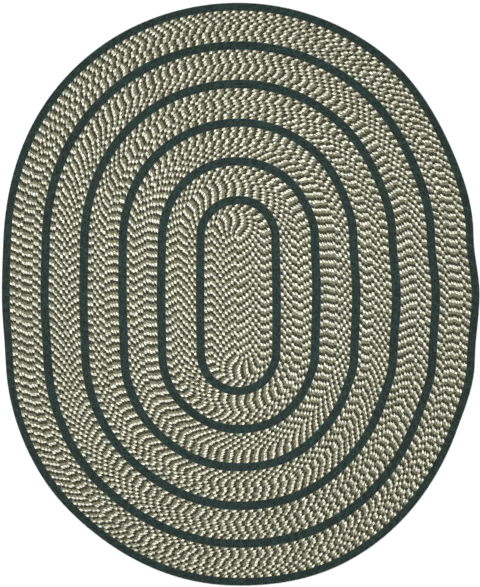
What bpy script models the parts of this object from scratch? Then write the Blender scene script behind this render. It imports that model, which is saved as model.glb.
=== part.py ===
"""An oval braided rug, lying flat.

Three-strand cords are laid edge to edge in courses round a short straight spine, and each course is sewn
to the one inside it. Bands of tweed cord alternate with narrow rings of dark cord. The centre panel, and
each band and ring round it, is one piece: flat underneath, with its courses raised as ridges on top.

Metres, +Z up. +Y runs along the rug's length. The origin is on the floor under the middle of the rug.
"""

import math

import bmesh
import bpy

# The spine: the straight cord in the middle, which gives the oval its length.
SPINE_HALF = 0.297

# Courses of cord, and how far apart they lie.
PANEL_COURSES = 11.5  # half the middle cord, and 11 courses round it
PANEL_PITCH = 0.0148
BANDS = 5
BAND_COURSES = 11
DARK_COURSES = 3
COURSE_PITCH = 0.01406
RIM_PITCH = 0.0128  # the rim's cords are pulled a little tighter

# A course in section, and the seam between two pieces.
CREST_Z = 0.0127
GROOVE_Z = 0.0083
SEAM = 0.0003

# How far the rug's edge lies outside a true oval, by direction from its middle. Hand-laid courses bulge
# and pull in. The courses inside the edge do the same, in proportion to how far out they lie.
EDGE_BULGE = (
    # degrees from +X, metres
    (0, 0.041),
    (15, 0.010),
    (36, -0.010),
    (60, 0.006),
    (92, 0.006),
    (123, 0.012),
    (157, 0.002),
    (180, 0.013),
    (198, -0.005),
    (222, -0.010),
    (241, -0.018),
    (268, -0.009),
    (292, 0.006),
    (328, -0.008),
    (344, 0.018),
)

# Steps round a course: along each straight side, and round each half-round end.
SIDE_STEPS = 2
END_STEPS = 18

# Yarn finishes: name, colour, roughness.
TWEED_YARN = ("tweed_yarn", (0.296, 0.296, 0.223), 0.9)
DARK_YARN = ("dark_green_yarn", (0.026, 0.048, 0.045), 0.9)

EDGE_REACH = (
    PANEL_COURSES * PANEL_PITCH
    + BANDS * (DARK_COURSES + BAND_COURSES) * COURSE_PITCH
    + DARK_COURSES * RIM_PITCH
)


def stations():
    """The steps round a course, anticlockwise: each is a foot on the spine (its Y) and a way out from it."""
    found = []
    for turn, foot in ((0.0, -SPINE_HALF), (math.pi, SPINE_HALF)):
        for step in range(SIDE_STEPS):
            found.append((foot * (1 - 2 * step / SIDE_STEPS), turn))
        for step in range(END_STEPS):
            found.append((-foot, turn + math.pi * step / END_STEPS))
    return found


def bulge(foot, way):
    """The edge's bulge at a station, eased from one row of EDGE_BULGE to the next."""
    across = EDGE_REACH * math.cos(way)
    along = foot + EDGE_REACH * math.sin(way)
    direction = math.degrees(math.atan2(along, across)) % 360
    rows = EDGE_BULGE + ((EDGE_BULGE[0][0] + 360, EDGE_BULGE[0][1]),)
    for (start, before), (end, after) in zip(rows, rows[1:]):
        if start <= direction <= end:
            share = (direction - start) / (end - start)
            eased = (1 - math.cos(math.pi * share)) / 2
            return before + (after - before) * eased
    return rows[0][1]


def course_line(reach):
    """Points (x, y) round the spine, at this reach from it on a true oval."""
    line = []
    for foot, way in stations():
        out = reach * (1 + bulge(foot, way) / EDGE_REACH)
        line.append((out * math.cos(way), foot + out * math.sin(way)))
    return line


def spine_place():
    """Where the spine's middle lies, so that the rug's box is centred on the origin."""
    edge = course_line(EDGE_REACH)
    across = [x for x, _ in edge]
    along = [y for _, y in edge]
    return -(max(across) + min(across)) / 2, -(max(along) + min(along)) / 2


def make_loop(bm, reach, height):
    """One closed line of points round the spine."""
    shift_x, shift_y = spine_place()
    return [bm.verts.new((x + shift_x, y + shift_y, height)) for x, y in course_line(reach)]


def join_loops(bm, one, other):
    """A strip of faces between two loops with the same steps."""
    for i in range(len(one)):
        j = (i + 1) % len(one)
        corners = [one[i], one[j], other[j], other[i]]
        kept = [c for k, c in enumerate(corners) if c is not corners[k - 1]]
        bm.faces.new(kept)


def make_spine(bm, height):
    """The spine's own points as a loop, in which every step of a half-round end has the same point."""
    shift_x, shift_y = spine_place()
    made = {}
    for foot, _ in stations():
        key = round(foot, 6)
        if key not in made:
            made[key] = bm.verts.new((shift_x, foot + shift_y, height))
    return [made[round(foot, 6)] for foot, _ in stations()]


def ridges(inner, pitch, courses):
    """The top of a piece in section, from its inner seam out: a crest on each course, a groove between."""
    rows = []
    for course in range(courses):
        rows.append((inner + course * pitch, GROOVE_Z))
        rows.append((inner + (course + 0.5) * pitch, CREST_Z))
    rows.append((inner + courses * pitch, GROOVE_Z))
    return rows


def make_material(name, colour, roughness):
    material = bpy.data.materials.get(name)
    if material is None:
        material = bpy.data.materials.new(name)
        material.use_nodes = True
        shader = material.node_tree.nodes["Principled BSDF"]
        shader.inputs["Base Color"].default_value = (*colour, 1.0)
        shader.inputs["Roughness"].default_value = roughness
        shader.inputs["Metallic"].default_value = 0.0
    return material


def finish_piece(name, bm, yarn):
    """Turns the faces outwards, shades the ridges smooth and keeps the walls sharp."""
    bmesh.ops.recalc_face_normals(bm, faces=bm.faces)
    mesh = bpy.data.meshes.new(name)
    bm.to_mesh(mesh)
    bm.free()
    mesh.shade_smooth()
    mesh.set_sharp_from_angle(angle=math.radians(50))
    piece = bpy.data.objects.new(name, mesh)
    piece.data.materials.append(make_material(*yarn))
    bpy.context.scene.collection.objects.link(piece)
    return piece


def make_panel(name, yarn):
    """The centre panel: the middle cord is a ridge along the spine, and the other courses go round it."""
    bm = bmesh.new()
    middle = PANEL_PITCH / 2
    rows = ridges(middle, PANEL_PITCH, int(PANEL_COURSES))
    rows[-1] = (rows[-1][0] - SEAM / 2, GROOVE_Z)
    rows.append((rows[-1][0], 0.0))
    loops = [make_spine(bm, CREST_Z)]
    loops += [make_loop(bm, reach, height) for reach, height in rows]
    loops.append(make_spine(bm, 0.0))
    for one, other in zip(loops, loops[1:]):
        join_loops(bm, one, other)
    return finish_piece(name, bm, yarn)


def make_ring(name, inner, pitch, courses, yarn):
    """A ring or band: its section, carried round the spine."""
    bm = bmesh.new()
    rows = ridges(inner, pitch, courses)
    rows[0] = (rows[0][0] + SEAM / 2, GROOVE_Z)
    # The rim has no neighbour outside it, but keeps the same allowance.
    rows[-1] = (rows[-1][0] - SEAM / 2, GROOVE_Z)
    rows.append((rows[-1][0], 0.0))
    rows.append((rows[0][0], 0.0))
    loops = [make_loop(bm, reach, height) for reach, height in rows]
    for one, other in zip(loops, loops[1:] + loops[:1]):
        join_loops(bm, one, other)
    return finish_piece(name, bm, yarn)


def build():
    for thing in list(bpy.data.objects):
        bpy.data.objects.remove(thing)
    make_panel("centre_panel", TWEED_YARN)
    reach = PANEL_COURSES * PANEL_PITCH
    for number in range(1, BANDS + 1):
        make_ring(f"dark_ring_{number}", reach, COURSE_PITCH, DARK_COURSES, DARK_YARN)
        reach += DARK_COURSES * COURSE_PITCH
        make_ring(f"tweed_band_{number}", reach, COURSE_PITCH, BAND_COURSES, TWEED_YARN)
        reach += BAND_COURSES * COURSE_PITCH
    make_ring("dark_rim", reach, RIM_PITCH, DARK_COURSES, DARK_YARN)


build()
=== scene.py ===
# An oval braided rug, lying flat and seen from straight above: tweed bands between narrow dark green rings.
# It is made of three-strand cords, laid edge to edge in courses round a straight spine and sewn together.
# Metres, +Z up, +Y along the rug's length, the origin on the floor under its middle.
import math

import bpy
import numpy as np
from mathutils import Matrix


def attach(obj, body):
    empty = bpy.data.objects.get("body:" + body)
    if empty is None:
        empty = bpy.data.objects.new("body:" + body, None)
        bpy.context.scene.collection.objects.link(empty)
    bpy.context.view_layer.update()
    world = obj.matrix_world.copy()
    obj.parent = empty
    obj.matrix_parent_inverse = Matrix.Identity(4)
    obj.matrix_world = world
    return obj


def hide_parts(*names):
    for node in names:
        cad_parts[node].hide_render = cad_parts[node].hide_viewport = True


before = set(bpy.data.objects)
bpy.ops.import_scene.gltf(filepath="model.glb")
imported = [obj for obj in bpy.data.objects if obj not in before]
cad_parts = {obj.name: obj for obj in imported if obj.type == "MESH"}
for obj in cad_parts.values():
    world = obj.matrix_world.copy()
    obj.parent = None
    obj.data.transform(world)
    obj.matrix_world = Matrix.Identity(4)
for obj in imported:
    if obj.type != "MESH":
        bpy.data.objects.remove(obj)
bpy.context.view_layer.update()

# ---------------------------------------------------------------------------------------------------------
# The camera looks straight down from above the rug's middle. Its frame is a little wider than the rug, and
# it sits a few millimetres off the rug's own middle.
FRAME_WIDE = 2.4576
FRAME_MIDDLE = (-0.0038, 0.0038)
EYE_HEIGHT = 6.0
SIGHT_LENGTH = 60.0
SENSOR_WIDE = 36.0  # millimetres, as the lens is

camera = bpy.data.objects.new("camera", bpy.data.cameras.new("camera"))
camera.data.sensor_fit = "HORIZONTAL"
camera.data.sensor_width = SENSOR_WIDE
camera.data.lens = SENSOR_WIDE * EYE_HEIGHT / FRAME_WIDE
camera.data.clip_end = SIGHT_LENGTH
camera.location = (*FRAME_MIDDLE, EYE_HEIGHT)
bpy.context.scene.collection.objects.link(camera)
bpy.context.scene.camera = camera

# ---------------------------------------------------------------------------------------------------------
# The studio: a pale floor that reaches far past the rug, an even white sky, and a broad soft lamp over the
# rug, a little to its upper left.
FLOOR_SIDE = 400.0
FLOOR_GAP = 0.0008  # the floor lies this far under the rug, so that the two don't flicker
FLOOR_COLOUR = (0.97, 0.97, 0.97, 1.0)
FLOOR_ROUGHNESS = 0.95
SKY_COLOUR = (1.0, 1.0, 1.0, 1.0)
SKY_STRENGTH = 0.92
LAMP_ACROSS = 1.6
LAMP_PLACE = (-0.15, 0.10, 2.5)
LAMP_POWER = 45.5

bpy.context.scene.view_settings.view_transform = "Standard"
world = bpy.data.worlds.new("sky")
world.use_nodes = True
world.node_tree.nodes["Background"].inputs["Color"].default_value = SKY_COLOUR
world.node_tree.nodes["Background"].inputs["Strength"].default_value = SKY_STRENGTH
bpy.context.scene.world = world

lamp = bpy.data.objects.new("lamp", bpy.data.lights.new("lamp", "AREA"))
lamp.data.shape = "DISK"
lamp.data.size = LAMP_ACROSS
lamp.data.energy = LAMP_POWER
lamp.location = LAMP_PLACE
lamp.visible_camera = False
bpy.context.scene.collection.objects.link(lamp)

floor_mesh = bpy.data.meshes.new("floor")
half_side = FLOOR_SIDE / 2
floor_mesh.from_pydata(
    [(-half_side, -half_side, -FLOOR_GAP), (half_side, -half_side, -FLOOR_GAP),
     (half_side, half_side, -FLOOR_GAP), (-half_side, half_side, -FLOOR_GAP)],
    [],
    [(0, 1, 2, 3)],
)
floor = bpy.data.objects.new("floor", floor_mesh)
floor_paint = bpy.data.materials.new("floor_paint")
floor_paint.use_nodes = True
floor_paint.node_tree.nodes["Principled BSDF"].inputs["Base Color"].default_value = FLOOR_COLOUR
floor_paint.node_tree.nodes["Principled BSDF"].inputs["Roughness"].default_value = FLOOR_ROUGHNESS
floor_mesh.materials.append(floor_paint)
bpy.context.scene.collection.objects.link(floor)

# ---------------------------------------------------------------------------------------------------------
# The centre panel is one long tweed cord. It starts as the straight cord in the middle, turns back at its
# lower end and goes on round and round, clockwise, each course sewn to the one inside it. Its end is
# tapered away along the panel's lower end, so that the panel closes to an even oval.
SPINE_HALF = 0.297
SPINE_PLACE = (-0.0140, -0.0074)  # the spine's middle, when the rug's box is centred on the origin
EDGE_REACH = 1.1928  # from the spine to the rug's edge, on a true oval
PANEL_PITCH = 0.0148  # from each course to the next
PANEL_TURNS = 11
PANEL_REACH = (PANEL_TURNS + 0.5) * PANEL_PITCH  # half the middle cord, and the turns round it
TAIL_SHARE = 0.78  # how much of the last half turn the tapered end takes
BEND_INNER = 0.94  # on the first, tightest bend the inner edge stops at this share of the way to its centre
TIGHT_LENGTH = 6.4  # over its last three turns the cord is pulled tighter
TIGHT_LAYS = 1.0  # by this many lays in all
TIGHT_POWER = 1.5
PANEL_SEED = 7  # for the unevenness of its stitches

# Hand-laid courses bulge and pull in: how far the edge lies outside a true oval, by direction.
EDGE_BULGE = (
    # degrees from +X, metres
    (0, 0.041),
    (15, 0.010),
    (36, -0.010),
    (60, 0.006),
    (92, 0.006),
    (123, 0.012),
    (157, 0.002),
    (180, 0.013),
    (198, -0.005),
    (222, -0.010),
    (241, -0.018),
    (268, -0.009),
    (292, 0.006),
    (328, -0.008),
    (344, 0.018),
)
SHARED_WANDER = 0.0010  # neighbouring courses wander together by this much
SHARED_WAVES = (
    # waves round the rug, radians they turn by in a metre of reach, radians they start at, share
    (4, 17, 0.0, 1.0),
    (9, -23, 1.3, 0.5),
)
OWN_WANDER = 0.00022  # and each by a little of its own, in waves that turn by a lot from course to course
OWN_WAVES = (
    (7, 431, 0.0, 1.0),
    (13, -389, 0.0, 1.0),
)
STEADY_REACH = 0.1  # nearer the spine than this, courses wander less
NO_REACH = 1e-9  # keeps points on the spine itself from a division by 0


def edge_bulge(direction):
    """The edge's bulge at directions in degrees: half a cosine wave from each row of EDGE_BULGE to the
    next."""
    rows = np.array(EDGE_BULGE + ((360, EDGE_BULGE[0][1]),), float)
    row = np.clip(np.searchsorted(rows[:, 0], direction, side="right") - 1, 0, len(rows) - 2)
    share = (direction - rows[row, 0]) / (rows[row + 1, 0] - rows[row, 0])
    eased = (1 - np.cos(np.pi * share)) / 2
    return rows[row, 1] + (rows[row + 1, 1] - rows[row, 1]) * eased


def add_waves(waves, turn, reach):
    """The sum of sine waves round the rug, each turned in proportion to the reach."""
    return sum(share * np.sin(count * turn + twist * reach + start) for count, twist, start, share in waves)


def as_laid(x, y):
    """Moves points from a true oval to where hand-laid courses lie. Each point keeps its foot on the spine
    and its way out from it. Its reach grows by the edge's bulge there, in proportion to the reach, and by
    the wander that it shares with its neighbours and that of its own."""
    foot = np.clip(y, -SPINE_HALF, SPINE_HALF)
    reach = np.hypot(x, y - foot)
    safe = np.maximum(reach, NO_REACH)
    way_x, way_y = x / safe, (y - foot) / safe
    turn = np.arctan2(foot + EDGE_REACH * way_y, EDGE_REACH * way_x)
    bulge = edge_bulge(np.degrees(turn) % 360) * reach / EDGE_REACH
    shared = SHARED_WANDER * add_waves(SHARED_WAVES, turn, reach)
    own = OWN_WANDER * add_waves(OWN_WAVES, turn, reach)
    out = reach + bulge + (shared + own) * np.minimum(1, reach / STEADY_REACH)
    return SPINE_PLACE[0] + out * way_x, SPINE_PLACE[1] + foot + out * way_y


def path_of(start, heading, runs):
    """A path of straight runs and clockwise arcs, end to end: for each, the length along the path at which
    it starts, its start point and heading, and its radius, which is 0 where it is straight. Also the length
    of the whole path."""
    rows, along, x, y, way = [], 0.0, start[0], start[1], heading
    for length, radius in runs:
        rows.append((along, x, y, way, radius))
        if radius:
            turned = way - length / radius
            x += radius * (math.sin(way) - math.sin(turned))
            y += radius * (math.cos(turned) - math.cos(way))
            way = turned
        else:
            x += length * math.cos(way)
            y += length * math.sin(way)
        along += length
    return np.array(rows), along


def points_on(path, along, aside):
    """Points at these lengths along a path, and this far to its left: the run's or arc's own point, plus
    the distance aside times the normal there."""
    row = np.clip(np.searchsorted(path[:, 0], along, side="right") - 1, 0, len(path) - 1)
    start, x, y, way, radius = path[row].T
    straight = radius == 0
    bend = np.where(straight, 1.0, radius)
    length = along - start
    turned = np.where(straight, way, way - length / bend)
    x = x + np.where(straight, length * np.cos(way), bend * (np.sin(way) - np.sin(turned)))
    y = y + np.where(straight, length * np.sin(way), bend * (np.cos(turned) - np.cos(way)))
    return x - aside * np.sin(turned), y + aside * np.cos(turned)


def panel_path():
    """The panel cord's path: down the spine, then for each turn a half round below, a straight side, a half
    round above and the other side. The half rounds below turn about a point half a course to the left. Also
    its length, where the tapered end starts, and how long a half round that end lies on."""
    side = (2 * SPINE_HALF, 0)
    runs = [side, (math.pi * PANEL_PITCH / 2, PANEL_PITCH / 2)]
    for turn in range(1, PANEL_TURNS + 1):
        above = turn * PANEL_PITCH
        below = above + PANEL_PITCH / 2
        runs += [side, (math.pi * above, above), side, (math.pi * below, below)]
    half_turn, reach = runs.pop()
    _, tail_start = path_of((0.0, SPINE_HALF), -math.pi / 2, runs)
    path, length = path_of((0.0, SPINE_HALF), -math.pi / 2, runs + [(half_turn * TAIL_SHARE, reach)])
    return path, length, tail_start, half_turn


panel, panel_length, tail_start, half_turn = panel_path()

# A cord is three strands, plaited so that one column of plump stitches shows: cream, taupe, dark and again.
LAY = 0.0448  # three stitches
STRANDS = 3
STITCH_STARTS = (0.0, 0.30, 0.64, 1.0)  # shares of a lay: the cream yarn is thinnest, the dark thickest
STEPS = 3  # steps along each stitch: the groove before it, then two on its back
LEAN = 0.0066  # how far along the cord a stitch moves on as it crosses
CREST_Z = 0.0127
SIDE_Z = 0.0083  # neighbours touch at this height
SECTION = (
    # share of the half width, share of the rise, share of half the lean, share of the groove
    (-1.0, 0.0, -1.5, 0.0),
    (-0.7, 0.74, -0.7, 1.0),
    (0.0, 1.0, 0.0, 1.0),
    (0.7, 0.74, 0.7, 1.0),
    (1.0, 0.0, 1.5, 0.0),
)
GROOVE_DIP = 0.45  # how deep the groove between two stitches is, as a share of the cord's rise
GROOVE_PULL = 0.06  # and how far it draws the cord in, as a share of its width
DIP_SPREAD = 0.25  # grooves differ in depth, and stitches in plumpness, by these shares
PLUMP_SPREAD = 0.12
MOST_SPREADS = 2.0  # and none by more than twice that
STRETCH = 0.006  # how far stitches wander along a course, in this many slow waves
STRETCH_WAVES = 4
JITTER = 0.0016  # and each by itself
SCATTER = 0.0022  # the stitches' ends are less even than their middles
START_BEFORE = 0.45 * PANEL_PITCH  # a cut cord starts this far before its path does
END_ROUND = 0.006  # its ends are rounded over this length
END_WIDTH = 0.35  # down to this share of their width
END_SQUEEZE = 0.02  # and what would lean out past them is pressed back to this share
THIN_HALF = 0.4 * PANEL_PITCH  # where half a cord's width is under this, it is lower too
THIN_RISE = 0.3  # down to this share of its rise

# A cord's lines of points are numbered from its inner side over its crest to its outer side, then the one
# under it, which has a point a stitch. The triangles under a stitch have corners at these lines and steps.
INNER = 0
OUTER = len(SECTION) - 1
UNDER = len(SECTION)
UNDER_STITCH = (
    ((OUTER, 0), (OUTER, 1), (UNDER, 0)),
    ((OUTER, 1), (UNDER, 1), (UNDER, 0)),
    ((OUTER, 1), (OUTER, 2), (UNDER, 1)),
    ((OUTER, 2), (OUTER, 3), (UNDER, 1)),
    ((UNDER, 0), (INNER, 1), (INNER, 0)),
    ((UNDER, 0), (UNDER, 1), (INNER, 1)),
    ((UNDER, 1), (INNER, 2), (INNER, 1)),
    ((UNDER, 1), (INNER, 3), (INNER, 2)),
)
MAP_MARGIN = 0.02  # the cord map's U stays this far inside its course's whole number
MAP_START = 6.0  # and its V starts here: a whole number of lays, with room for ragged stitches before it


def between_stitches(stitch, values):
    """Values given for each stitch, read straight from one to the next and from the last to the first."""
    return np.interp(stitch, np.arange(len(values) + 1), np.append(values, values[0]))


def stitch_places(stitch, lays, length, draws):
    """How far along a cord its stitches lie, with this many lays in its length. Each lies at its share of
    its lay, moved by a jitter of its own and its neighbour's together, and by slow sine waves, each smaller
    than the last."""
    uneven = JITTER * draws.standard_normal(lays * STRANDS)
    uneven = (uneven + np.roll(uneven, 1)) / math.sqrt(2)
    turns = 2 * math.pi * np.arange(len(uneven)) / len(uneven)
    for wave in range(1, STRETCH_WAVES + 1):
        size = STRETCH / wave * draws.standard_normal()
        start = 2 * math.pi * draws.random()
        uneven = uneven + size * np.sin(wave * turns + start)
    starts = stitch // STRANDS + np.interp(stitch % STRANDS, np.arange(STRANDS + 1), STITCH_STARTS)
    return starts * length / lays + between_stitches(stitch, uneven)


def cut_ends(along, length):
    """Presses what lies past a cord's cut ends back to them. Also gives the share of its width at each
    length, which grows by a quarter circle, from END_WIDTH at an end to 1."""
    kept = np.clip(along, -START_BEFORE, length)
    along = kept + END_SQUEEZE * (along - kept)
    from_end = np.clip(np.minimum(along + START_BEFORE, length - along) / END_ROUND, 0, 1)
    return along, END_WIDTH + (1 - END_WIDTH) * np.sqrt(1 - (1 - from_end) ** 2)


def spread(count, draws):
    """Random amounts with a spread of 1, and none beyond MOST_SPREADS."""
    return np.clip(draws.standard_normal(count), -MOST_SPREADS, MOST_SPREADS)


def cord_faces(count, coarse, stitches, course):
    """The faces of a cord, in groups of like faces: their corners as numbers of points, and their places on
    the cord map, which are the course plus the share across it, and the stitches counted along it. Each line
    over the cord has count points, and the line under it coarse ones."""

    def corner(line, at):
        if line == UNDER:
            point, share, stitch = at % coarse, 0.5, at
        else:
            point, share, stitch = at % count, MAP_MARGIN + (1 - 2 * MAP_MARGIN) * line / OUTER, at / STEPS
        place = np.stack([np.full(len(at), course + share), stitch + MAP_START], axis=-1)
        return line * count + point, place

    def group(corners):
        points, places = zip(*(corner(line, at) for line, at in corners))
        return np.stack(points, axis=1), np.stack(places, axis=1)

    here = np.arange(stitches * STEPS)
    each = np.arange(stitches)
    groups = []
    for line in range(OUTER):
        groups.append(group([(line, here), (line, here + 1), (line + 1, here + 1), (line + 1, here)]))
    for triangle in UNDER_STITCH:
        groups.append(group([(line, each * (1 if line == UNDER else STEPS) + at) for line, at in triangle]))
    return groups


def lay_cord(path, length, closed, edges, crest, course, slip, draws):
    """One cord as a closed tube on a grid: five lines of points over its top, from its inner side over the
    crest to its outer side, and a sparser line under it. Steps along the cord lean with the stitches: each
    line is moved on by its share of half the lean, and scattered in proportion to how far out it lies. At
    every third step, the groove between two stitches, the rise over the side's height and the width are
    cut back. edges gives the cord's inner and outer edge, aside from the path, at lengths along it, and slip
    gives how far on its stitches are moved there. Gives the cord's points and its groups of faces."""
    lays = round(length / LAY)
    stitches = lays * STRANDS
    step = np.arange(stitches * STEPS + (0 if closed else 1))
    share, lift, lean, deep = (np.array(column)[:, None] for column in zip(*SECTION))

    at = stitch_places(step / STEPS, lays, length, draws)
    scatter = np.abs(share) * SCATTER * draws.standard_normal((len(SECTION), stitches))
    scatter = np.array([between_stitches(step / STEPS, line) for line in scatter])
    along = np.concatenate([(at + lean * LEAN / 2 + scatter).ravel(), at[::STEPS]])
    along = along + slip(along)
    if closed:
        along, wide = along % length, 1.0
    else:
        along, wide = cut_ends(along, length)
    inner, outer = edges(along)
    middle = (inner + outer) / 2
    half = (outer - inner) / 2 * wide

    plump = 1 + PLUMP_SPREAD * spread(stitches, draws)
    dip = GROOVE_DIP * (1 + DIP_SPREAD * spread(stitches, draws))
    groove = step % STEPS == 0
    stitch = step // STEPS % stitches
    back = np.where(groove, 1 - dip[stitch], plump[stitch])
    pull = 1 - GROOVE_PULL * deep * groove
    under = np.zeros(len(step[::STEPS]))
    across = np.concatenate([(share * pull).ravel(), under])
    rise = np.concatenate([(lift * back).ravel(), under])
    thin = np.clip(half / THIN_HALF, THIN_RISE, 1.0)
    height = SIDE_Z + (crest - SIDE_Z) * rise * thin
    height[-len(under) :] = 0.0
    x, y = points_on(path, along, middle + half * across)
    points = np.stack([*as_laid(x, y), height], axis=1)

    groups = cord_faces(len(step), len(under), stitches, course)
    if not closed:
        first = np.arange(UNDER + 1) * len(step)
        last = np.append(first[:UNDER] + len(step) - 1, len(points) - 1)
        for ring in (first, last[::-1]):
            hub = np.full(len(ring), len(points))
            points = np.vstack([points, points[ring].mean(axis=0)])
            fan = np.stack([hub, ring, np.roll(ring, -1)], axis=1)
            groups.append((fan, np.full((*fan.shape, 2), (course + 0.5, MAP_START + 0.5))))
    return points, groups


def sew_cords(name, cords, yarn):
    """One piece of cords: points and faces, cord after cord, in one smooth mesh, and the cord map as UVs."""
    firsts = np.cumsum([0] + [len(points) for points, _ in cords])
    points = np.concatenate([points for points, _ in cords])
    faces = []
    for (_, groups), first in zip(cords, firsts):
        faces += [(group + first, places) for group, places in groups]
    corners = np.concatenate([group.ravel() for group, _ in faces])
    on_map = np.concatenate([places.ravel() for _, places in faces])
    sides = np.concatenate([np.full(len(group), group.shape[1]) for group, _ in faces])
    mesh = bpy.data.meshes.new(name)
    mesh.vertices.add(len(points))
    mesh.vertices.foreach_set("co", points.astype(np.float32).ravel())
    mesh.loops.add(len(corners))
    mesh.loops.foreach_set("vertex_index", corners.astype(np.int32))
    mesh.polygons.add(len(sides))
    mesh.polygons.foreach_set("loop_start", (np.cumsum(sides) - sides).astype(np.int32))
    mesh.update(calc_edges=True)
    mesh.validate()
    mesh.uv_layers.new(name="cord").data.foreach_set("uv", on_map.astype(np.float32))
    mesh.shade_smooth()
    mesh.materials.append(yarn)
    piece = bpy.data.objects.new(name, mesh)
    bpy.context.scene.collection.objects.link(piece)
    return piece


# Spun yarn: matt and a little fuzzy, each strand of several plies. A grain is how many spots of noise lie
# along a stitch and across the cord.
YARN_ROUGHNESS = 0.88
YARN_GLOSS = 0.2
YARN_SHEEN = 0.15
SHEEN_ROUGHNESS = 0.5
MINGLED = 0.9  # at a cord's sides the fuzz of its three yarns mingles, up to this share
MINGLED_PAINTED_LIGHT = 1.2  # and is painted this much lighter than their mean, as painted light against the shade between courses
MINGLED_POWER = 4.0  # the higher, the closer it keeps to the sides
RAGGED = 0.6  # the strands' fuzz crosses over from stitch to stitch, by up to a few tenths of a stitch
RAGGED_GRAIN = (3.1, 3.0)
CLUMP_GRAIN = (2.9, 2.7)
FUZZ_GRAIN = (4.7, 4.2)
FUZZ_SHARE = 0.8  # how strong the fuzz is, as a share of the clumps
SLOW_GRAIN = 0.07  # the shade changes slowly along a cord, and the hue faster
HUE_GRAIN = 0.45
PLIES = 4.0  # plies of yarn side by side in a stitch
PLY_TURNS = 1.7  # how many of them are passed on the way across
PLY_WOBBLE = 0.4
PLY_RELIEF_AND_SHADE = 0.35  # how much plies and fibres stand out, as shares of a stitch's round back; the plies' share is also painted into the tone, as painted shade between plies
FIBRE_RELIEF = 0.3
FIBRE_GRAIN = (5.0, 2.5)  # here across a ply, and across the cord, which is along the fibres
FIBRE_DETAIL = 2.0
FIBRE_MEAN = 0.45  # what fibres and plies come to on average, taken off again
PAINTED_GROOVE_POWER = 5.0  # the higher, the closer the painted shade of a groove keeps to it
RELIEF_STRENGTH = 0.8
RELIEF_DEPTH = 0.0015

# How far apart courses and stitches lie in the noise, so that no two are alike, and two layers of it.
COURSES_APART = 3.7
STITCHES_APART = 1.73
OWN_LAYER = 0.5
HUE_LAYER = 7.5


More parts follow.
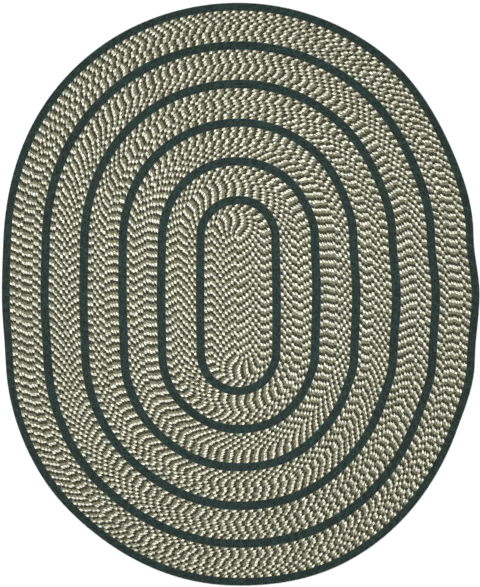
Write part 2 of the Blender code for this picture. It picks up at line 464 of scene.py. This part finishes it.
def yarn_cord(name, strands, own_shade, slow_shade, clump_shade, fibre_and_ply_shade, painted_groove_shade, hue_shade):
    """Spun yarn on a three-strand cord. The cord map's V counts stitches, so its whole part picks the
    strand's colour and its fraction runs from groove to groove; U's fraction runs across the cord. Noise
    makes the strands ragged where they meet, and towards the cord's sides their colours mingle, painted
    lighter there against the shade between courses. The tone is 1, plus each stitch's own shade, a slow
    change along the cord, clumps, fuzz, and fibres, with plies painted lighter on their round backs and
    darker between them, less painted shade towards the grooves. The relief is each stitch's round back
    with its plies and fibres."""
    material = bpy.data.materials.new(name)
    material.use_nodes = True
    nodes, links = material.node_tree.nodes, material.node_tree.links
    shader = nodes["Principled BSDF"]
    shader.inputs["Roughness"].default_value = YARN_ROUGHNESS
    shader.inputs["Sheen Weight"].default_value = YARN_SHEEN
    shader.inputs["Sheen Roughness"].default_value = SHEEN_ROUGHNESS
    shader.inputs["Specular IOR Level"].default_value = YARN_GLOSS

    def put(value, socket):
        if isinstance(value, (int, float)):
            socket.default_value = value
        else:
            links.new(value, socket)

    def calc(operation, first, second=None):
        node = nodes.new("ShaderNodeMath")
        node.operation = operation
        put(first, node.inputs[0])
        if second is not None:
            put(second, node.inputs[1])
        return node.outputs[0]

    def plus(first, second):
        return calc("ADD", first, second)

    def times(first, second):
        return calc("MULTIPLY", first, second)

    def from_centre(share):
        return calc("ABSOLUTE", calc("SUBTRACT", times(share, 2.0), 1.0))

    def vector(x, y, z):
        node = nodes.new("ShaderNodeCombineXYZ")
        for value, socket in zip((x, y, z), node.inputs):
            put(value, socket)
        return node.outputs[0]

    def noise(at, detail=1.0):
        node = nodes.new("ShaderNodeTexNoise")
        node.inputs["Scale"].default_value = 1.0
        node.inputs["Detail"].default_value = detail
        links.new(at, node.inputs["Vector"])
        return calc("SUBTRACT", node.outputs["Fac"], 0.5)

    cord_map = nodes.new("ShaderNodeUVMap")
    cord_map.uv_map = "cord"
    split = nodes.new("ShaderNodeSeparateXYZ")
    links.new(cord_map.outputs["UV"], split.inputs["Vector"])
    counted = split.outputs["Y"]
    course = calc("FLOOR", split.outputs["X"])
    across = calc("FRACT", split.outputs["X"])
    stitch = calc("FLOOR", counted)
    part = calc("FRACT", counted)
    from_middle = from_centre(part)
    from_crest = from_centre(across)

    def spots(grain):
        return noise(vector(times(counted, grain[0]), times(across, grain[1]), course))

    # The strands' colours, ragged where stitches meet, and mingled at the cord's sides, where they are
    # painted lighter against the shade between courses.
    strand = calc("MODULO", calc("FLOOR", plus(counted, times(spots(RAGGED_GRAIN), RAGGED))), STRANDS)
    colours = nodes.new("ShaderNodeValToRGB")
    colours.color_ramp.interpolation = "CONSTANT"
    while len(colours.color_ramp.elements) < STRANDS:
        colours.color_ramp.elements.new(0.5)
    for place, (element, colour) in enumerate(zip(colours.color_ramp.elements, strands)):
        element.position = place / STRANDS
        element.color = (*colour, 1.0)
    links.new(calc("DIVIDE", plus(strand, 0.5), STRANDS), colours.inputs["Fac"])
    mingled = nodes.new("ShaderNodeMix")
    mingled.data_type = "RGBA"
    # painted light: the mingled colour is the strands' mean made lighter, to offset the shade in the seams
    # between courses
    mingled.inputs["B"].default_value = (*np.mean(strands, axis=0) * MINGLED_PAINTED_LIGHT, 1.0)
    links.new(times(calc("POWER", from_crest, MINGLED_POWER), MINGLED), mingled.inputs["Factor"])
    links.new(colours.outputs["Color"], mingled.inputs["A"])

    # Plies run slantwise over a stitch, and fibres run along them.
    twist = plus(times(part, PLIES), times(across, PLY_TURNS))
    own_place = plus(times(stitch, STITCHES_APART), course)
    fibre_at = vector(times(twist, FIBRE_GRAIN[0]), times(across, FIBRE_GRAIN[1]), own_place)
    fibres = noise(fibre_at, FIBRE_DETAIL)
    plies = calc("ABSOLUTE", calc("SINE", times(plus(twist, times(fibres, PLY_WOBBLE)), math.pi)))

    # The shades that are added up to the tone: random ones of the yarn, and painted shade in the grooves and
    # between plies.
    own = nodes.new("ShaderNodeTexWhiteNoise")
    own.noise_dimensions = "3D"
    links.new(vector(course, stitch, OWN_LAYER), own.inputs["Vector"])
    own_tone = times(calc("SUBTRACT", own.outputs["Value"], 0.5), 2 * own_shade)
    slow_at = vector(times(course, COURSES_APART), times(counted, SLOW_GRAIN), strand)
    slow_tone = times(noise(slow_at), 2 * slow_shade)
    clump_tone = times(spots(CLUMP_GRAIN), 2 * clump_shade)
    fuzz_tone = times(spots(FUZZ_GRAIN), 2 * FUZZ_SHARE * clump_shade)
    # fibres shade at random, the yarn's own; the plies are painted lighter on their round backs and darker
    # between them: painted shade
    fibre_tone_and_ply_shade = times(plus(fibres, times(plies, PLY_RELIEF_AND_SHADE)), 2 * fibre_and_ply_shade)
    fibre_tone_and_ply_shade = calc("SUBTRACT", fibre_tone_and_ply_shade, FIBRE_MEAN * fibre_and_ply_shade)
    # painted shade: darker towards the grooves between stitches, where shade falls
    painted_groove_tone = times(calc("POWER", from_middle, PAINTED_GROOVE_POWER), -painted_groove_shade)
    tones = plus(plus(own_tone, slow_tone), plus(fibre_tone_and_ply_shade, painted_groove_tone))
    tones = plus(tones, plus(clump_tone, fuzz_tone))
    hue_at = vector(times(counted, HUE_GRAIN), course, HUE_LAYER)
    toned = nodes.new("ShaderNodeHueSaturation")
    links.new(plus(tones, 1.0), toned.inputs["Value"])
    links.new(plus(times(noise(hue_at), 2 * hue_shade), 0.5), toned.inputs["Hue"])
    links.new(mingled.outputs["Result"], toned.inputs["Color"])
    links.new(toned.outputs["Color"], shader.inputs["Base Color"])

    back = calc("SQRT", calc("SUBTRACT", 1.0, times(from_middle, from_middle)))
    yarn_height = plus(times(plies, PLY_RELIEF_AND_SHADE), times(fibres, FIBRE_RELIEF))
    relief = nodes.new("ShaderNodeBump")
    relief.inputs["Strength"].default_value = RELIEF_STRENGTH
    relief.inputs["Distance"].default_value = RELIEF_DEPTH
    links.new(plus(back, yarn_height), relief.inputs["Height"])
    links.new(relief.outputs["Normal"], shader.inputs["Normal"])
    return material


# Cream, then taupe, then dark, clockwise: cords are laid clockwise here.
TWEED_STRANDS = ((0.67, 0.67, 0.55), (0.172, 0.172, 0.106), (0.024, 0.024, 0.007))
tweed_yarn = yarn_cord(
    "tweed_yarn_cord",
    TWEED_STRANDS,
    own_shade=0.15,
    slow_shade=0.08,
    clump_shade=1.50,
    # random fibre tone, and painted shade between plies
    fibre_and_ply_shade=0.30,
    # painted shade in the grooves between stitches
    painted_groove_shade=0.22,
    hue_shade=0.035,
)


def panel_edges(along):
    """Half a course each side. Along the tail the outer edge comes in as a cosine, to meet the inner one.
    On the first bend, which is as tight as the cord is wide, the inner edge is held a little off its
    centre."""
    turned = np.clip((along - tail_start) / half_turn, 0, 1) * math.pi
    past_spine = along - 2 * SPINE_HALF
    tight = (past_spine > 0) & (past_spine < math.pi * PANEL_PITCH / 2)
    return -PANEL_PITCH / 2 * np.where(tight, BEND_INNER, 1.0), PANEL_PITCH / 2 * np.cos(turned)


def panel_slip(along):
    """Over its last turns the cord is pulled tighter: stitches fall back by a power of the share gone."""
    gone = np.clip((along - panel_length) / TIGHT_LENGTH + 1, 0, 1)
    return -TIGHT_LAYS * LAY * gone**TIGHT_POWER


draws = np.random.default_rng(PANEL_SEED)
panel_cord = lay_cord(panel, panel_length, False, panel_edges, CREST_Z, 0, panel_slip, draws)
centre_panel = sew_cords("centre_panel_cord", [panel_cord], tweed_yarn)
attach(centre_panel, "root")
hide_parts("centre_panel")

# ---------------------------------------------------------------------------------------------------------
# Five bands of the same tweed cord go round the panel, with a dark ring inside each. A band has eleven
# courses. Each course is a closed oval with its ends butted, and is sewn to the one inside it.
COURSE_PITCH = 0.01406
BAND_COURSES = 11
DARK_COURSES = 3
CREST_SPREAD = 0.0002  # courses differ in height by this much
BAND_SEED = 20
BAND_PLACE = 100  # on the cord map, band 1's courses are numbered from 100, band 2's from 200, and on

# How the stitches of neighbouring courses line up, which draws bars, slants and chevrons across a band.
BAND_DRIFTS = (
    # band, steps from course to course in its inner and its middle part, and the share of a lay that a step
    # moves on by in its inner, middle and outer part
    (1, 3, 3, 0.50, 0.31, 0.84),
    (2, 4, 3, 0.07, 0.76, 0.56),
    (3, 4, 3, 0.98, 0.42, 0.60),
    (4, 4, 4, 0.79, 0.40, 0.36),
    (5, 2, 1, 0.30, 0.62, 0.08),
)
DRIFT_SPREAD = 0.05
BANDS = len(BAND_DRIFTS)


def band_inner(number):
    """The reach at which band 1, 2 and so on starts: past the panel, and the rings and bands before it."""
    courses = number * DARK_COURSES + (number - 1) * BAND_COURSES
    return PANEL_REACH + courses * COURSE_PITCH


def oval_course(reach):
    """The path of one closed course at this reach from the spine, clockwise from the spine's lower left."""
    half_round = (math.pi * reach, reach)
    return path_of((-reach, -SPINE_HALF), math.pi / 2, [(2 * SPINE_HALF, 0), half_round] * 2)


def lay_courses(inner, pitch, count, first, drifts, draws):
    """Closed courses side by side from this reach out. Each starts a share of a lay further on than the one
    inside it, and drifts gives these shares in order."""
    cords = []
    slip = draws.random()
    for course in range(count):
        path, length = oval_course(inner + (course + 0.5) * pitch)
        crest = CREST_Z + CREST_SPREAD * draws.standard_normal()

        def edges(along):
            return np.full(len(along), -pitch / 2), np.full(len(along), pitch / 2)

        def slipped(along):
            return slip * LAY

        cords.append(lay_cord(path, length, True, edges, crest, first + course, slipped, draws))
        slip = (slip + drifts[course]) % 1
    return cords


for number, inner_steps, middle_steps, inner_drift, middle_drift, outer_drift in BAND_DRIFTS:
    draws = np.random.default_rng(BAND_SEED + number)
    steps_out = np.arange(BAND_COURSES)
    drifts = np.where(steps_out < inner_steps + middle_steps, middle_drift, outer_drift)
    drifts = np.where(steps_out < inner_steps, inner_drift, drifts)
    drifts = drifts + DRIFT_SPREAD * draws.standard_normal(BAND_COURSES)
    cords = lay_courses(band_inner(number), COURSE_PITCH, BAND_COURSES, number * BAND_PLACE, drifts, draws)
    band = sew_cords(f"tweed_band_{number}_cords", cords, tweed_yarn)
    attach(band, "root")
    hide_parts(f"tweed_band_{number}")

# ---------------------------------------------------------------------------------------------------------
# Dark green cord of the same make: a ring of three courses inside each band, and the rim round them all,
# whose cords are pulled a little tighter. They are butted and sewn as the bands are.
RIM_PITCH = 0.0128
RING_SEED = 40
RING_PLACE = 50  # on the cord map, ring 1's courses are numbered from 150, ring 2's from 250, and on
DARK_STRANDS = ((0.0098, 0.0265, 0.0212), (0.0079, 0.0220, 0.0178), (0.0117, 0.0300, 0.0240))
dark_yarn = yarn_cord(
    "dark_green_yarn_cord",
    DARK_STRANDS,
    own_shade=0.38,
    slow_shade=0.22,
    clump_shade=1.50,
    # random fibre tone, and painted shade between plies
    fibre_and_ply_shade=0.30,
    # painted shade in the grooves between stitches
    painted_groove_shade=0.35,
    hue_shade=0.04,
)

for number in range(1, BANDS + 2):
    draws = np.random.default_rng(RING_SEED + number)
    is_rim = number == BANDS + 1
    node = "dark_rim" if is_rim else f"dark_ring_{number}"
    pitch = RIM_PITCH if is_rim else COURSE_PITCH
    inner = band_inner(number) - DARK_COURSES * COURSE_PITCH
    first = number * BAND_PLACE + RING_PLACE
    cords = lay_courses(inner, pitch, DARK_COURSES, first, draws.random(DARK_COURSES), draws)
    ring = sew_cords(f"{node}_cords", cords, dark_yarn)
    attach(ring, "root")
    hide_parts(node)
